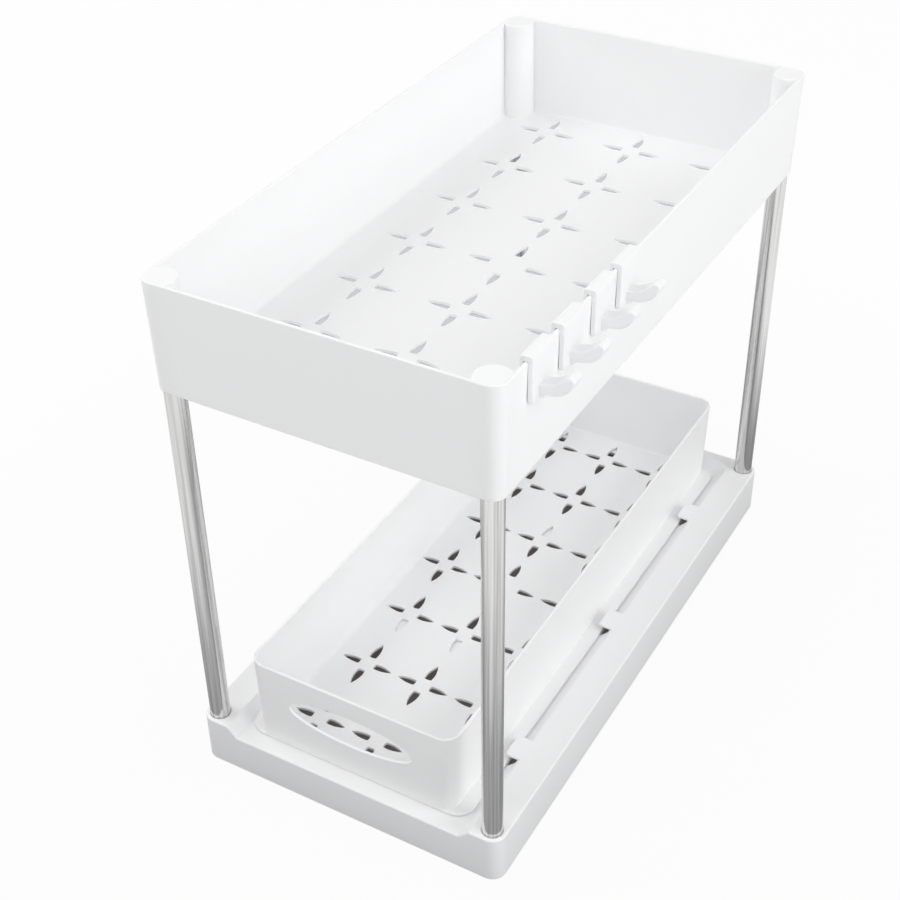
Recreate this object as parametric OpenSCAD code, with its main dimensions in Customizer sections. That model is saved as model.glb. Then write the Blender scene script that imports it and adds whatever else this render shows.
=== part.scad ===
// Under sink organizer: a slotted top tray on four corner tubes, over a base
// with a pull-out drawer, and a row of hooks that hang over the tray's right rim.
// The origin is the centre of the base's footprint, on the ground.
// The drawer opens towards -Y and the hooks are on the +X side.

/* [Overall] */
// Width of the base and of the tray's rim
organizer_w = 215; // [190:1:260]
// Length of the base and of the tray's rim
organizer_l = 418; // [400:1:480]
// Height of the tray's rim above the ground
organizer_h = 352; // [300:1:450]
// Outer radius of the base's and the rim's corners
corner_r = 9.2; // [9.2:0.1:14]

/* [Base] */
// Height of the base's ledges
base_h = 34; // [32:1:50]
// Wall of the base and depth of its skin
base_wall = 2.4; // [2:0.1:3.2]
// Depth of the drawer's channel below the ledges
channel_depth = 7; // [7:0.5:12]
// Width of the channel's flat floor
channel_floor_w = 160; // [150:1:164]
// Width of the rim behind the channel
back_rim_w = 7.5; // [6:0.5:10]
// Radius of the channel's back corners, at the ledges
channel_corner_r = 12; // [9:0.5:20]
// Width of the floor strip along each side of the openings
floor_rail_w = 11; // [8:0.5:20]
// Length of the floor in front of the first opening
front_member_l = 21; // [15:1:30]
// Length of the base behind the last opening
back_member_l = 29; // [26:1:36]
// Width of each crossbar
crossbar_w = 18; // [10:1:30]
// Distance between the two crossbars
crossbar_pitch = 138; // [120:1:150]
// Radius of the openings' corners
opening_corner_r = 4; // [2:0.5:8]

/* [Hold-down tabs] */
// Number of tabs on each side
tab_count = 3; // [1:1:4]
// Length of each tab along the ledge
tab_l = 17.4; // [8:0.1:20]
// Thickness of each tab
tab_t = 1.5; // [1:0.1:3.5]
// How far each tab reaches over the channel
tab_reach = 10; // [9:0.5:11]
// Distance from the front of the base to the first tab's middle
tab_first_y = 73.8; // [40:0.1:90]
// Distance from the first tab's middle to the last one's
tab_span = 266.8; // [160:0.1:290]
// Length of the moulding hole left open beside each tab
tab_hole_gap = 3.4; // [2:0.1:5]

/* [Tubes] */
// Outer diameter of the corner tubes
tube_d = 12.7; // [10:0.1:12.7]
// Wall of the tubes
tube_wall = 0.8; // [0.5:0.1:1.5]
// Clearance of a tube in its socket, on the radius
tube_fit = 0.1; // [0.05:0.01:0.15]
// Gap between a tube's end and the bottom of its socket
tube_end_gap = 0.3; // [0.1:0.1:1]
// Depth of the tube sockets in the base
base_socket_depth = 28; // [15:1:28]
// Plastic above each tube in the tray's columns
column_cap_t = 6; // [3:1:20]
// Radius of the columns' tops, round the tubes
column_r = 10.4; // [9.4:0.1:12]
// How much the columns widen down to the tray's floor
column_draft = 1; // [0:0.1:2]
// Width of the lead-in at each base socket's mouth
socket_lead_in = 0.6; // [0.2:0.1:0.8]

/* [Top tray] */
// Height of the tray
tray_h = 69.5; // [50:0.5:120]
// Wall and floor of the tray
tray_wall = 2.2; // [1.8:0.1:3]
// How far each tray wall leans in from the rim to the floor
tray_draft = 1.5; // [0.5:0.1:1.5]
// How far the columns' tops lie below the rim
column_top_drop = 0.3; // [0.2:0.1:2]
// Distance between slot crosses across the tray
tray_pitch_x = 64.4; // [56:0.2:68]
// Distance between slot crosses along the tray
tray_pitch_y = 59.3; // [56:0.1:60]

/* [Drawer] */
// Width of the drawer's rim
drawer_w = 144; // [120:1:148]
// Length of the drawer's rim
drawer_l = 394.5; // [370:0.5:396]
// Height of the drawer
drawer_h = 63.2; // [40:0.2:120]
// Wall and floor of the drawer
drawer_wall = 2; // [1.6:0.1:2.6]
// How far each side wall leans in from the rim to the floor
drawer_draft_x = 2; // [0.5:0.1:2.5]
// How far the front and back walls lean in from the rim to the floor
drawer_draft_y = 1.5; // [0.5:0.1:2.5]
// Outer radius of the drawer's corners at the rim
drawer_corner_r = 10.5; // [9:0.5:20]
// Gap between the drawer's foot and the channel's back slope
drawer_back_gap = 1; // [0.5:0.1:3]
// Gap between the drawer's underside and the channel's floor
drawer_lift = 0.3; // [0.2:0.1:0.6]
// Thickness of the drawer's foot flanges
flange_t = 2; // [1.5:0.1:2.2]
// Gap between a foot flange and the channel's side slope
flange_gap = 0.8; // [0.5:0.1:1.5]
// Radius of the foot flange's corners
flange_corner_r = 12; // [8:0.5:14]
// Width of the handle hole
handle_w = 87; // [70:1:100]
// Height of the handle hole
handle_h = 24; // [18:1:30]
// Height of the handle hole's middle above the drawer's underside
handle_z = 35.7; // [25:0.1:40]
// Distance between slot crosses across the drawer
drawer_pitch_x = 42.5; // [40:0.1:43]
// Distance between slot crosses along the drawer
drawer_pitch_y = 55.9; // [46:0.1:56]
// How far the middle row's outer crosses move outwards, clear of the middle cross
drawer_side_shift = 4.7; // [4.5:0.1:5]

/* [Slots] */
// Columns of slot crosses
cross_columns = 3; // [1:2:3]
// Rows of slot crosses
cross_rows = 7; // [1:2:7]
// Length of one slot in the tray
tray_slot_l = 15.2; // [10:0.1:15.2]
// Width of one slot in the tray
tray_slot_w = 5.5; // [3:0.1:6]
// Distance from a tray cross's middle to its slots
tray_slot_from = 6.4; // [5:0.1:8]
// Length of one crosswise slot in the drawer
drawer_slot_lx = 13.2; // [9:0.1:13.2]
// Width of one crosswise slot in the drawer
drawer_slot_wx = 4.8; // [3:0.1:5.5]
// Distance from a drawer cross's middle to its crosswise slots
drawer_slot_from_x = 5.5; // [4.5:0.1:6.5]
// Length of one lengthwise slot in the drawer
drawer_slot_ly = 14; // [9:0.1:14]
// Width of one lengthwise slot in the drawer
drawer_slot_wy = 5.5; // [3:0.1:6]
// Distance from a drawer cross's middle to its lengthwise slots
drawer_slot_from_y = 6.3; // [5:0.1:7]
// How far the slots of the middle cross move outwards
middle_cross_shift = 5.6; // [0:0.1:5.6]
// Where a slot is widest, as a share of its length
slot_wide_share = 0.27; // [0.2:0.01:0.4]
// Radius of a slot's blunt end, as a share of its length
slot_blunt_share = 0.53; // [0.5:0.01:0.8]

/* [Hooks] */
// Width of each hook's clip
hook_w = 22.6; // [16:0.1:26]
// Distance from the tray's front to the first hook's middle
hook_from_front = 37.9; // [32:0.1:60]
// Gap between the first and the second hook
hook_gap_a = 10.7; // [5:0.1:30]
// Gap between the second and the third hook
hook_gap_b = 13.4; // [5:0.1:30]
// Gap between the third and the fourth hook
hook_gap_c = 7.8; // [5:0.1:30]
// Thickness of the clip over the rim
hook_t = 3; // [2:0.1:4]
// Rounding of the clip's outer bends, as a share of its thickness
hook_bend_share = 0.8; // [0.2:0.1:0.9]
// Thickness of the clip's two legs
hook_leg_t = 2.4; // [1.8:0.1:3]
// Clearance of the clip on the rim and the wall
hook_fit = 0.3; // [0.2:0.1:0.5]
// How far the front plate hangs below the rim
hook_plate_drop = 24; // [18:0.5:40]
// How far the inner leg hangs below the rim
hook_leg_drop = 11; // [6:0.5:20]
// Width of the finger that the load hangs on
finger_w = 9; // [6:0.5:14]
// Radius of the finger's outer curve
finger_r = 14.5; // [13:0.5:18]
// Radius of the finger's inner curve
finger_in_r = 15.1; // [13:0.1:17]
// Thickness of the finger at its lowest point
finger_t = 6; // [4:0.1:6.5]
// How far the outer curve is centred outside the front plate
finger_reach = 4.3; // [3:0.1:8]
// How far the inner curve is centred nearer the plate than the outer one
finger_taper = 3.4; // [1:0.1:5]
// Height of the finger's lowest point above the plate's lower end
finger_rise = 2.8; // [0.5:0.1:5]
// Angle from straight down to the finger's end, round the inner curve's middle
finger_turn = 64.5; // [50:0.5:75]
// Thickness of the rib behind the finger's root
finger_rib_t = 2.2; // [1.5:0.1:4]

/* [Hidden] */
HOOK_NODES = ["hook_1", "hook_2", "hook_3", "hook_4"];
TUBE_NODES = ["tube_front_left", "tube_front_right", "tube_back_left", "tube_back_right"];

$fn = 96;
shell_fn = 32;
// Overlap that joins two solids or runs a cut clear of a face
join = 1;
// Thickness of the slices that a leaning shell is stretched between
slice = 0.01;
// Corners of the handle hole's outline
handle_steps = 48;
// How far the columns and sleeves stay inside the wall that they join
inset_step = 0.3;

tube_x = organizer_w / 2 - corner_r;
tube_y = organizer_l / 2 - corner_r;
bore_r = tube_d / 2 + tube_fit;

floor_z = base_h - channel_depth;
socket_z = base_h - base_socket_depth;
channel_top_w = channel_floor_w + 2 * channel_depth;
channel_back_y = organizer_l / 2 - back_rim_w;
opening_w = channel_floor_w - 2 * floor_rail_w;
tab_pitch = tab_span / max(tab_count - 1, 1);

tray_z = organizer_h - tray_h;
tray_foot_w = organizer_w - 2 * tray_draft;
tray_foot_l = organizer_l - 2 * tray_draft;
tray_foot_r = corner_r - tray_draft;
column_top = organizer_h - column_top_drop;
tube_seat_top = column_top - column_cap_t;

drawer_z = floor_z + drawer_lift;
drawer_back_y = channel_back_y - channel_depth - drawer_back_gap + drawer_draft_y;
drawer_mid_y = drawer_back_y - drawer_l / 2;
drawer_foot_w = drawer_w - 2 * drawer_draft_x;
drawer_foot_l = drawer_l - 2 * drawer_draft_y;
drawer_foot_r = drawer_corner_r - drawer_draft_x;
flange_w = channel_floor_w - 2 * flange_gap;

plate_x = hook_fit;
plate_out = plate_x + hook_leg_t;
leg_x = -(tray_wall + hook_fit + tray_draft * hook_leg_drop / tray_h);
bend_r = hook_t * hook_bend_share;
finger_foot_z = finger_rise - hook_plate_drop;
finger_x = plate_out + finger_reach;
finger_z = finger_foot_z + finger_r;
finger_in_x = finger_x - finger_taper;
finger_in_z = finger_foot_z + finger_t + finger_in_r;
hook_gaps = [0, hook_gap_a, hook_gap_b, hook_gap_c];
first_hook_y = hook_from_front - organizer_l / 2;
hook_y = [for (i = [0:3]) first_hook_y + i * hook_w + sum_to(hook_gaps, i)];

function sum_to(list, i) = i < 0 ? 0 : list[i] + sum_to(list, i - 1);

module rounded_outline(w, l, r) {
    union() {
        square([w - 2 * r, l], center = true);
        square([w, l - 2 * r], center = true);
        for (x = [-1, 1], y = [-1, 1])
            translate([x * (w / 2 - r), y * (l / 2 - r)]) circle(r = r);
    }
}

module rounded_block(w, l, r, h) {
    linear_extrude(height = h) rounded_outline(w, l, r);
}

// A rounded tub that widens from its foot to its rim
module leaning_block(foot_w, foot_l, foot_r, rim_w, rim_l, rim_r, h) {
    hull() {
        linear_extrude(height = slice) rounded_outline(foot_w, foot_l, foot_r, $fn = shell_fn);
        translate([0, 0, h - slice])
            linear_extrude(height = slice) rounded_outline(rim_w, rim_l, rim_r, $fn = shell_fn);
    }
}

// One slot: blunt and slightly rounded at its start, pointed at its far end
module slot(l, w) {
    wide_at = l * slot_wide_share;
    a = l - wide_at;
    r = (a * a + w * w / 4) / w;
    blunt_r = l * slot_blunt_share;
    translate([wide_at, 0]) intersection() {
        translate([0, r - w / 2]) circle(r = r);
        translate([0, w / 2 - r]) circle(r = r);
        translate([blunt_r - wide_at, 0]) circle(r = blunt_r);
    }
}

// Four slots around a point, with the crosswise and the lengthwise ones sized apart
module slot_cross(from_x, lx, wx, from_y, ly, wy) {
    translate([from_x, 0]) slot(lx, wx);
    translate([-from_x, 0]) rotate(180) slot(lx, wx);
    translate([0, from_y]) rotate(90) slot(ly, wy);
    translate([0, -from_y]) rotate(-90) slot(ly, wy);
}

module tray_slots() {
    half_columns = (cross_columns - 1) / 2;
    half_rows = (cross_rows - 1) / 2;
    for (i = [-half_columns:half_columns], j = [-half_rows:half_rows]) {
        start = tray_slot_from + (i == 0 && j == 0 ? middle_cross_shift : 0);
        translate([i * tray_pitch_x, j * tray_pitch_y])
            slot_cross(start, tray_slot_l, tray_slot_w, start, tray_slot_l, tray_slot_w);
    }
}

module drawer_slots() {
    half_columns = (cross_columns - 1) / 2;
    half_rows = (cross_rows - 1) / 2;
    for (i = [-half_columns:half_columns], j = [-half_rows:half_rows]) {
        middle = i == 0 && j == 0 ? middle_cross_shift : 0;
        side = j == 0 ? i * drawer_side_shift : 0;
        translate([i * drawer_pitch_x + side, j * drawer_pitch_y])
            slot_cross(
                drawer_slot_from_x + middle, drawer_slot_lx, drawer_slot_wx,
                drawer_slot_from_y + middle, drawer_slot_ly, drawer_slot_wy
            );
    }
}

// The drawer's channel, grown by a skin for the hollow under it
module channel(skin = 0) {
    run = skin * (sqrt(2) - 1);
    rise = channel_depth + skin + join;
    foot_w = channel_floor_w + 2 * run;
    rim_w = foot_w + 2 * rise;
    foot_back = channel_back_y - channel_depth + run;
    rim_back = foot_back + rise;
    front = -organizer_l / 2 - 2 * join - channel_corner_r;
    foot_r = channel_corner_r - channel_depth;
    hull() {
        translate([0, (foot_back + front) / 2, floor_z - skin])
            linear_extrude(height = slice)
                rounded_outline(foot_w, foot_back - front, foot_r, $fn = shell_fn);
        translate([0, (rim_back + front) / 2, floor_z - skin + rise - slice])
            linear_extrude(height = slice)
                rounded_outline(rim_w, rim_back - front, foot_r + rise, $fn = shell_fn);
    }
}

module base_hollow() {
    difference() {
        translate([0, 0, -join])
            rounded_block(
                organizer_w - 2 * base_wall, organizer_l - 2 * base_wall,
                corner_r - base_wall, base_h - base_wall + join
            );
        channel(base_wall);
    }
}

module ladder_openings() {
    bar = (crossbar_pitch + crossbar_w) / 2;
    gap = (crossbar_pitch - crossbar_w) / 2;
    front = -organizer_l / 2 + front_member_l;
    back = organizer_l / 2 - back_member_l;
    for (span = [[front, -bar], [-gap, gap], [bar, back]])
        translate([0, (span[0] + span[1]) / 2, -join])
            rounded_block(opening_w, span[1] - span[0], opening_corner_r, base_h);
}

module at_tabs() {
    for (side = [-1, 1], i = [0:tab_count - 1])
        translate([0, -organizer_l / 2 + tab_first_y + i * tab_pitch, 0])
            scale([side, 1, 1]) children();
}

module tab_hole() {
    from_x = flange_w / 2 + inset_step;
    to_x = channel_top_w / 2 + join;
    translate([from_x, -tab_l / 2 - tab_hole_gap, -join])
        cube([to_x - from_x, tab_l + tab_hole_gap, base_h + 2 * join]);
}

module tab() {
    to_x = channel_top_w / 2 + 2 * join;
    from_x = channel_top_w / 2 - tab_reach;
    translate([from_x, -tab_l / 2, base_h - tab_t]) cube([to_x - from_x, tab_l, tab_t]);
}

module at_tubes() {
    for (x = [-1, 1], y = [-1, 1]) translate([x * tube_x, y * tube_y, 0]) children();
}

module base_frame() {
    sleeve_z = socket_z - base_wall;
    color("white") difference() {
        union() {
            difference() {
                rounded_block(organizer_w, organizer_l, corner_r, base_h);
                base_hollow();
                channel();
                ladder_openings();
                at_tabs() tab_hole();
            }
            at_tabs() tab();
            at_tubes() translate([0, 0, sleeve_z])
                cylinder(r = corner_r - inset_step, h = base_h - sleeve_z - inset_step);
        }
        at_tubes() translate([0, 0, socket_z]) cylinder(r = bore_r, h = base_h);
        at_tubes() translate([0, 0, base_h - socket_lead_in])
            cylinder(r1 = bore_r, r2 = bore_r + socket_lead_in + join, h = socket_lead_in + join);
    }
}

// The tray's outside, moved in by a step from its walls
module tray_block(step) {
    translate([0, 0, tray_z])
        leaning_block(
            tray_foot_w - 2 * step, tray_foot_l - 2 * step, tray_foot_r - step,
            organizer_w - 2 * step, organizer_l - 2 * step, corner_r - step, tray_h
        );
}

module tray_columns() {
    intersection() {
        at_tubes() translate([0, 0, tray_z])
            cylinder(r1 = column_r + column_draft, r2 = column_r, h = column_top - tray_z);
        tray_block(inset_step);
    }
}

module top_tray() {
    color("white") difference() {
        union() {
            difference() {
                tray_block(0);
                translate([0, 0, tray_wall]) tray_block(tray_wall);
            }
            tray_columns();
        }
        at_tubes() translate([0, 0, tray_z - join])
            cylinder(r = bore_r, h = tube_seat_top - tray_z + join);
        translate([0, 0, tray_z - join])
            linear_extrude(height = tray_wall + 2 * join) tray_slots();
    }
}

module handle_hole() {
    points = [
        for (i = [0:handle_steps - 1]) let (a = 360 * i / handle_steps)
            [handle_w / 2 * cos(a), handle_h / 2 * sin(a)]
    ];
    translate([0, drawer_mid_y, drawer_z + handle_z]) rotate([90, 0, 0])
        linear_extrude(height = drawer_l / 2 + join) polygon(points);
}

module drawer() {
    color("white") difference() {
        translate([0, drawer_mid_y, drawer_z]) difference() {
            union() {
                leaning_block(
                    drawer_foot_w, drawer_foot_l, drawer_foot_r,
                    drawer_w, drawer_l, drawer_corner_r, drawer_h
                );
                rounded_block(flange_w, drawer_foot_l, flange_corner_r, flange_t);
            }
            translate([0, 0, drawer_wall])
                leaning_block(
                    drawer_foot_w - 2 * drawer_wall, drawer_foot_l - 2 * drawer_wall,
                    drawer_foot_r - drawer_wall,
                    drawer_w - 2 * drawer_wall, drawer_l - 2 * drawer_wall,
                    drawer_corner_r - drawer_wall, drawer_h
                );
            translate([0, 0, -join]) linear_extrude(height = drawer_wall + 2 * join) drawer_slots();
        }
        handle_hole();
    }
}

module tube(x, y) {
    from_z = socket_z + tube_end_gap;
    to_z = tube_seat_top - tube_end_gap;
    color("silver") translate([x * tube_x, y * tube_y, from_z]) difference() {
        cylinder(r = tube_d / 2, h = to_z - from_z);
        translate([0, 0, -join])
            cylinder(r = tube_d / 2 - tube_wall, h = to_z - from_z + 2 * join);
    }
}

// The clip in side view: x runs outwards from the rim's outer edge, y upwards from the rim
module clip_outline() {
    leg_out = leg_x - hook_leg_t;
    strap_l = plate_out - leg_out;
    end_r = hook_leg_t / 2;
    translate([leg_out, hook_fit]) square([strap_l, hook_t - bend_r]);
    translate([leg_out + bend_r, hook_fit]) square([strap_l - 2 * bend_r, hook_t]);
    intersection() {
        translate([leg_out, hook_fit]) square([strap_l, hook_t]);
        for (x = [leg_out + bend_r, plate_out - bend_r])
            translate([x, hook_fit + hook_t - bend_r]) circle(r = bend_r);
    }
    for (leg = [[plate_x, hook_plate_drop], [leg_out, hook_leg_drop]]) {
        translate([leg[0], end_r - leg[1]])
            square([hook_leg_t, leg[1] - end_r + hook_fit + hook_t - bend_r]);
        translate([leg[0] + end_r, end_r - leg[1]]) circle(r = end_r);
    }
}

// The curved finger in the same side view, with the rib behind its root
module finger_outline() {
    root_x = plate_out - hook_leg_t / 2;
    clear = 2 * (finger_r + finger_in_r);
    union() {
        difference() {
            translate([finger_x, finger_z]) circle(r = finger_r);
            translate([finger_in_x, finger_in_z]) circle(r = finger_in_r);
            translate([finger_in_x, finger_in_z])
                rotate(finger_turn - 90) square([clear, clear]);
            translate([root_x - clear, finger_z - clear]) square([clear, 2 * clear]);
        }
        translate([root_x, -hook_plate_drop])
            square([plate_out + finger_rib_t - root_x, finger_rise + finger_t]);
    }
}

module hook(i) {
    color("white") translate([organizer_w / 2, hook_y[i], organizer_h]) {
        rotate([90, 0, 0]) translate([0, 0, -hook_w / 2])
            linear_extrude(height = hook_w) clip_outline();
        rotate([90, 0, 0]) translate([0, 0, -finger_w / 2])
            linear_extrude(height = finger_w) finger_outline();
    }
}

base_frame();
top_tray();
drawer();
tube(-1, -1);  // tube_front_left
tube(1, -1);  // tube_front_right
tube(-1, 1);  // tube_back_left
tube(1, 1);  // tube_back_right
hook(0);  // hook_1
hook(1);  // hook_2
hook(2);  // hook_3
hook(3);  // hook_4
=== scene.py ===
"""Looks of a two-tier under sink organizer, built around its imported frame.

A white slotted tray stands on four polished tubes over a white base, with a
slotted drawer that slides out to the front and four hooks on the tray's rim.
All lengths are in metres. +Z is up, -Y is the front, and the hooks are on +X.
"""

import logging
import math
from collections.abc import Callable, Sequence
from dataclasses import dataclass, field
from enum import Enum

import bmesh
import bpy
from mathutils import Matrix, Vector


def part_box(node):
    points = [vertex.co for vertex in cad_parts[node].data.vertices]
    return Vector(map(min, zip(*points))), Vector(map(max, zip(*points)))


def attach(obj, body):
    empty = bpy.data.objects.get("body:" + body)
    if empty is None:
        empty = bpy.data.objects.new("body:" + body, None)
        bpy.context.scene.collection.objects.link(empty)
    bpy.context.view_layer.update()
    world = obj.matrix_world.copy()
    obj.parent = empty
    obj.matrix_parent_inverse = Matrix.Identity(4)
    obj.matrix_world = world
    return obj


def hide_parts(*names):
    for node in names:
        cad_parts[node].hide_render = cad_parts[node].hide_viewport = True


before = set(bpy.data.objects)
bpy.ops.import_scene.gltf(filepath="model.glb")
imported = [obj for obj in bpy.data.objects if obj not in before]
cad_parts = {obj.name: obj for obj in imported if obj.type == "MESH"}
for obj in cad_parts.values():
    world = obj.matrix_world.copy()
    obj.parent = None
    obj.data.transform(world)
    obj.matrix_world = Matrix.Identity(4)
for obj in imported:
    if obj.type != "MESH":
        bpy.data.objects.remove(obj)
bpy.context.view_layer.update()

LOG = logging.getLogger("organizer")
MM = 0.001
CLEAR = 1 * MM
NEAR = 0.01 * MM
SMOOTH_ANGLE = math.radians(38)
CORNER_STEPS = 14
ROUND_STEPS = 4
SIDES = (-1, 1)


class Cut(Enum):
    """How one solid works on another."""

    TAKE_AWAY = "DIFFERENCE"
    ADD = "UNION"
    KEEP_SHARED = "INTERSECT"


class Body(Enum):
    """The bodies that pieces ride on."""

    FRAME = "frame"
    DRAWER = "drawer"


# Selecting and editing


def deselect_all() -> None:
    """Leave edit mode and deselect every object."""
    if bpy.context.mode != "OBJECT":
        bpy.ops.object.mode_set(mode="OBJECT")
    bpy.ops.object.select_all(action="DESELECT")


def activate(obj: bpy.types.Object) -> None:
    """Make an object the only selected one, and the active one.

    Args:
        obj: The object to work on.
    """
    deselect_all()
    obj.select_set(True)
    bpy.context.view_layer.objects.active = obj


def edit(obj: bpy.types.Object, element: str = "VERT") -> None:
    """Open an object in edit mode with nothing selected.

    Args:
        obj: The object to edit.
        element: What is selected: VERT, EDGE or FACE.
    """
    activate(obj)
    bpy.ops.object.mode_set(mode="EDIT")
    bpy.ops.mesh.select_mode(type=element)
    bpy.ops.mesh.select_all(action="DESELECT")


def select_edges(obj: bpy.types.Object, wanted: Callable[[bmesh.types.BMEdge], bool]) -> int:
    """Select the edges of an edited mesh that pass a test.

    Args:
        obj: The object in edit mode, in edge mode.
        wanted: The test of an edge.

    Returns:
        How many edges are selected.
    """
    mesh = bmesh.from_edit_mesh(obj.data)
    found = [edge for edge in mesh.edges if wanted(edge)]
    for edge in found:
        edge.select_set(True)
    bmesh.update_edit_mesh(obj.data)
    return len(found)


def select_faces(obj: bpy.types.Object, wanted: Callable[[bmesh.types.BMFace], bool]) -> int:
    """Select the faces of an edited mesh that pass a test.

    Args:
        obj: The object in edit mode, in face mode.
        wanted: The test of a face.

    Returns:
        How many faces are selected.
    """
    mesh = bmesh.from_edit_mesh(obj.data)
    found = [face for face in mesh.faces if wanted(face)]
    for face in found:
        face.select_set(True)
    bmesh.update_edit_mesh(obj.data)
    return len(found)


def bevel_edges(width: float, steps: int = ROUND_STEPS) -> None:
    """Round the selected edges.

    Args:
        width: The distance that the rounding takes from each face.
        steps: The number of segments.
    """
    bpy.ops.mesh.bevel(offset=width, segments=steps, profile=0.5, affect="EDGES", clamp_overlap=False)


def place_in_mesh(obj: bpy.types.Object) -> bpy.types.Object:
    """Move an object's place into its mesh, so that the object sits at the origin.

    Args:
        obj: The object.

    Returns:
        The same object.
    """
    activate(obj)
    bpy.ops.object.transform_apply(location=True, rotation=True, scale=True)
    return obj


def twin(obj: bpy.types.Object, place: Matrix, name: str) -> bpy.types.Object:
    """Copy a finished shape, with a mesh of its own.

    Args:
        obj: The shape, with its object at the origin.
        place: Where the copy goes.
        name: The copy's name.

    Returns:
        The copy.
    """
    copy = obj.copy()
    copy.data = obj.data.copy()
    copy.name = name
    bpy.context.scene.collection.objects.link(copy)
    copy.data.transform(place)
    return copy


def joined(objects: Sequence[bpy.types.Object], name: str) -> bpy.types.Object:
    """Join separate shapes into one object.

    Args:
        objects: The shapes, which don't touch each other.
        name: The name of the whole.

    Returns:
        The joined object.
    """
    activate(objects[0])
    for other in objects[1:]:
        other.select_set(True)
    bpy.ops.object.join()
    objects[0].name = name
    return objects[0]


def work(target: bpy.types.Object, tool: bpy.types.Object, cut: Cut, keep: bool = False) -> None:
    """Cut one solid with another, or add it.

    Args:
        target: The solid that changes.
        tool: The solid that it is cut with.
        cut: What is done.
        keep: Whether the tool stays for another cut.
    """
    activate(target)
    modifier = target.modifiers.new(cut.value, "BOOLEAN")
    modifier.operation = cut.value
    modifier.solver = "EXACT"
    modifier.object = tool
    bpy.ops.object.modifier_apply(modifier=modifier.name)
    if not keep:
        bpy.data.objects.remove(tool)


def smooth(obj: bpy.types.Object) -> bpy.types.Object:
    """Give a finished mesh outward faces and soft shading across its roundings.

    Args:
        obj: The finished object.

    Returns:
        The same object.
    """
    edit(obj)
    bpy.ops.mesh.select_all(action="SELECT")
    bpy.ops.mesh.remove_doubles(threshold=NEAR / 2)
    bpy.ops.mesh.delete_loose(use_verts=True, use_edges=True, use_faces=False)
    bpy.ops.mesh.select_all(action="SELECT")
    bpy.ops.mesh.normals_make_consistent(inside=False)
    activate(obj)
    bpy.ops.object.shade_smooth_by_angle(angle=SMOOTH_ANGLE, keep_sharp_edges=False)
    weighted = obj.modifiers.new("weighted", "WEIGHTED_NORMAL")
    weighted.keep_sharp = True
    bpy.ops.object.modifier_apply(modifier=weighted.name)
    return obj


# Shapes made of level rings


@dataclass(frozen=True)
class Ring:
    """One level of a tub or turned piece.

    A ring with a corner as large as half its width is round.
    """

    width: float
    length: float
    corner: float
    z: float
    x: float = 0.0
    y: float = 0.0

    def draw(self) -> None:
        """Add this ring's edges to the mesh in edit mode, and leave them selected."""
        middle = (self.x, self.y, self.z)
        bpy.ops.mesh.select_all(action="DESELECT")
        if self.corner >= self.width / 2:
            bpy.ops.mesh.primitive_circle_add(vertices=96, radius=self.width / 2, location=middle)
            return
        bpy.ops.mesh.primitive_plane_add(size=1, location=middle)
        bpy.ops.transform.resize(value=(self.width, self.length, 1), center_override=middle)
        bpy.ops.mesh.bevel(
            offset=self.corner, segments=CORNER_STEPS, profile=0.5, affect="VERTICES", clamp_overlap=False
        )
        bpy.ops.mesh.delete(type="ONLY_FACE")


def loft(name: str, rings: Sequence[Ring], closed: bool = False) -> bpy.types.Object:
    """Make a solid by bridging level rings in order.

    Args:
        name: The object's name.
        rings: The rings, from one end to the other.
        closed: Whether the last ring joins the first, as in a tube, and not two end faces.

    Returns:
        The solid, with its object at the origin.
    """
    deselect_all()
    bpy.ops.mesh.primitive_plane_add(size=1, location=(0, 0, 0))
    obj = bpy.context.active_object
    obj.name = name
    bpy.ops.object.mode_set(mode="EDIT")
    bpy.ops.mesh.select_mode(type="VERT")
    bpy.ops.mesh.select_all(action="SELECT")
    bpy.ops.mesh.delete(type="VERT")
    starts = []
    for ring in rings:
        starts.append(len(bmesh.from_edit_mesh(obj.data).verts))
        ring.draw()
    starts.append(len(bmesh.from_edit_mesh(obj.data).verts))

    def pick(*numbers: int) -> None:
        bpy.ops.mesh.select_all(action="DESELECT")
        mesh = bmesh.from_edit_mesh(obj.data)
        mesh.verts.ensure_lookup_table()
        for number in numbers:
            for vertex in mesh.verts[starts[number]:starts[number + 1]]:
                vertex.select_set(True)
        mesh.select_flush(True)
        bmesh.update_edit_mesh(obj.data)

    pairs = [(n, n + 1) for n in range(len(rings) - 1)]
    for pair in pairs + ([(len(rings) - 1, 0)] if closed else []):
        pick(*pair)
        bpy.ops.mesh.bridge_edge_loops()
    if not closed:
        for end in (0, len(rings) - 1):
            pick(end)
            bpy.ops.mesh.edge_face_add()
    bpy.ops.mesh.select_all(action="SELECT")
    bpy.ops.mesh.normals_make_consistent(inside=False)
    deselect_all()
    return obj


def quarter(steps: int = ROUND_STEPS) -> list[tuple[float, float]]:
    """Points of a quarter circle from (0, 1) to (1, 0), as (sine, cosine)."""
    turns = [math.pi / 2 * n / steps for n in range(steps + 1)]
    return [(math.sin(turn), math.cos(turn)) for turn in turns]


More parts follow.
